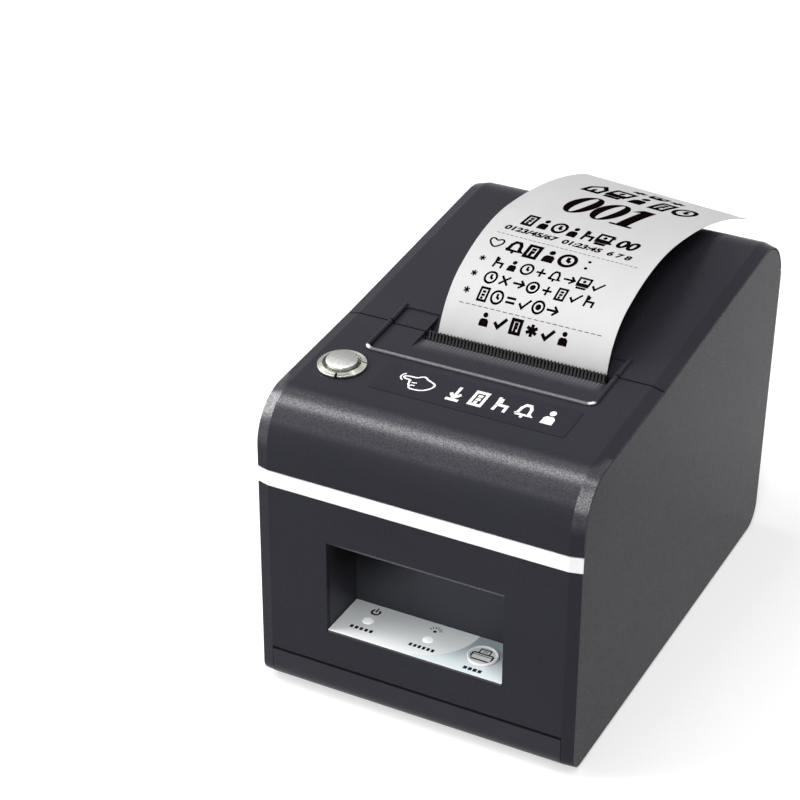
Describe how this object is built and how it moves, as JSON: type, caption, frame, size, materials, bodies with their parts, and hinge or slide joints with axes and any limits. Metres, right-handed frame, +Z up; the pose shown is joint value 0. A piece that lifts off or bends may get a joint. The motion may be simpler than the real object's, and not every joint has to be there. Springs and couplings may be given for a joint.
{
  "type": "countertop queue ticket printer",
  "caption": "Compact desktop ticket printer: dark case with rear-hinged paper lid, toothed paper slot, metal take-a-number button, feed key and lamps in a front window.",
  "frame": {"origin": "middle of the four feet, on the counter", "axes": "+X to the right seen from the front, +Y to the back, +Z up; the front faces -Y"},
  "size_m": [0.11, 0.1895, 0.131],
  "materials": {
    "charcoal_shell": "fine grain, satin",
    "base_plastic": "fine grain",
    "white_stripe": "smooth white",
    "foot_rubber": "matt",
    "screw_steel": "zinc plated",
    "panel_foil": "printed silver foil",
    "key_grey": "satin grey",
    "lamp_lens": "clear lens",
    "board_green": "solder mask",
    "component_black": "moulded",
    "bright_steel": "turned and polished",
    "label_film": "printed film",
    "comb_black": "smooth black",
    "paper_white": "thermal paper",
    "core_tube": "pressed tube",
    "frame_steel": "galvanised sheet",
    "head_ceramic": "glazed ceramic",
    "head_alloy": "extruded",
    "gear_white": "moulded acetal",
    "cable_orange": "polyimide film",
    "cable_grey": "ribbon"
  },
  "bodies": {
    "housing": {"main_housing": "charcoal_shell", "window_pocket": "charcoal_shell", "rear_panel": "charcoal_shell", "top_front_cover": "charcoal_shell", "trim_stripe": "white_stripe", "base_tray": "base_plastic", "feet": "foot_rubber", "base_screws": "screw_steel", "control_panel": "panel_foil", "lamp_windows": "lamp_lens", "panel_board": "board_green", "panel_lamps": "component_black", "feed_switch": "component_black", "button_bezel": "bright_steel", "button_gasket": "foot_rubber", "button_nut": "base_plastic", "button_switch": "component_black", "instruction_label": "label_film", "tear_comb": "comb_black", "paper_web": "paper_white", "paper_bay": "base_plastic", "mechanism_frame": "frame_steel", "mount_screws": "screw_steel", "head_pin": "screw_steel", "head_springs": "frame_steel", "head_flex_cable": "cable_orange", "paper_guide": "base_plastic", "paper_sensor": "component_black", "stepper_motor": "frame_steel", "idler_pin": "screw_steel", "main_board": "board_green", "board_screws": "screw_steel", "board_components": "component_black", "dc_jack": "component_black", "usb_port": "frame_steel", "drawer_port": "component_black", "rocker_case": "component_black", "panel_cable": "cable_grey", "button_cable": "cable_grey", "motor_cable": "cable_grey"},
    "lid": {"paper_lid": "charcoal_shell", "platen_bracket": "frame_steel", "bracket_screws": "screw_steel", "platen_bushes": "gear_white", "hinge_pins": "screw_steel"},
    "platen": {"platen_shaft": "screw_steel", "platen_rubber": "foot_rubber", "platen_gear": "gear_white"},
    "idler": {"idler_gear": "gear_white"},
    "motor_rotor": {"motor_pinion": "gear_white"},
    "head": {"thermal_head": "head_ceramic", "head_heatsink": "head_alloy"},
    "take_button": {"button_cap": "bright_steel"},
    "feed_key": {"feed_button": "key_grey"},
    "rocker": {"power_rocker": "component_black"},
    "roll": {"paper_roll": "paper_white", "roll_core": "core_tube"},
    "ticket": {"ticket": "paper_white"}
  },
  "joints": [
    {"name": "lid_hinge", "type": "hinge", "parent": "housing", "child": "lid", "pos_m": [0, 0.08158, 0.092], "axis": [-1, 0, 0], "range_deg": [0, 85]},
    {"name": "paper_roll_spin", "type": "hinge", "parent": "housing", "child": "roll", "pos_m": [0.0054, 0.04, 0.0544], "axis": [1, 0, 0], "continuous": true},
    {"name": "platen_spin", "type": "hinge", "parent": "lid", "child": "platen", "pos_m": [0.0054, -0.015, 0.0955], "axis": [1, 0, 0], "continuous": true},
    {"name": "idler_spin", "type": "hinge", "parent": "housing", "child": "idler", "pos_m": [0.0406, -0.03157, 0.08706], "axis": [1, 0, 0], "continuous": true},
    {"name": "motor_spin", "type": "hinge", "parent": "housing", "child": "motor_rotor", "pos_m": [0.0406, -0.04505, 0.08048], "axis": [1, 0, 0], "continuous": true},
    {"name": "head_pivot", "type": "hinge", "parent": "housing", "child": "head", "pos_m": [0.0054, -0.027, 0.083], "axis": [1, 0, 0], "range_deg": [0, 3], "stiffness_Nm_per_rad": 0.3, "springref_deg": -17.19, "deforming": ["head_springs"]},
    {"name": "take_number_press", "type": "slide", "parent": "housing", "child": "take_button", "axis": [0, 0.0671, -0.9977], "range_m": [0, 0.0016], "stiffness_N_per_m": 1000, "springref_m": -0.002},
    {"name": "feed_press", "type": "slide", "parent": "housing", "child": "feed_key", "axis": [0, 0, -1], "range_m": [0, 0.0008], "stiffness_N_per_m": 1500, "springref_m": -0.001},
    {"name": "power_rocker_tilt", "type": "hinge", "parent": "housing", "child": "rocker", "pos_m": [-0.0395, 0.08286, 0.04208], "axis": [1, 0, 0], "range_deg": [0, 16]},
    {"name": "ticket_pull", "type": "slide", "parent": "lid", "child": "ticket", "axis": [0, 0.2504, 0.9681], "range_m": [0, 0.04]}
  ],
  "couplings": [
    {"joint": "platen_spin", "follows": "paper_roll_spin", "ratio": 5},
    {"joint": "idler_spin", "follows": "paper_roll_spin", "ratio": -3.1579},
    {"joint": "motor_spin", "follows": "paper_roll_spin", "ratio": 10}
  ]
}
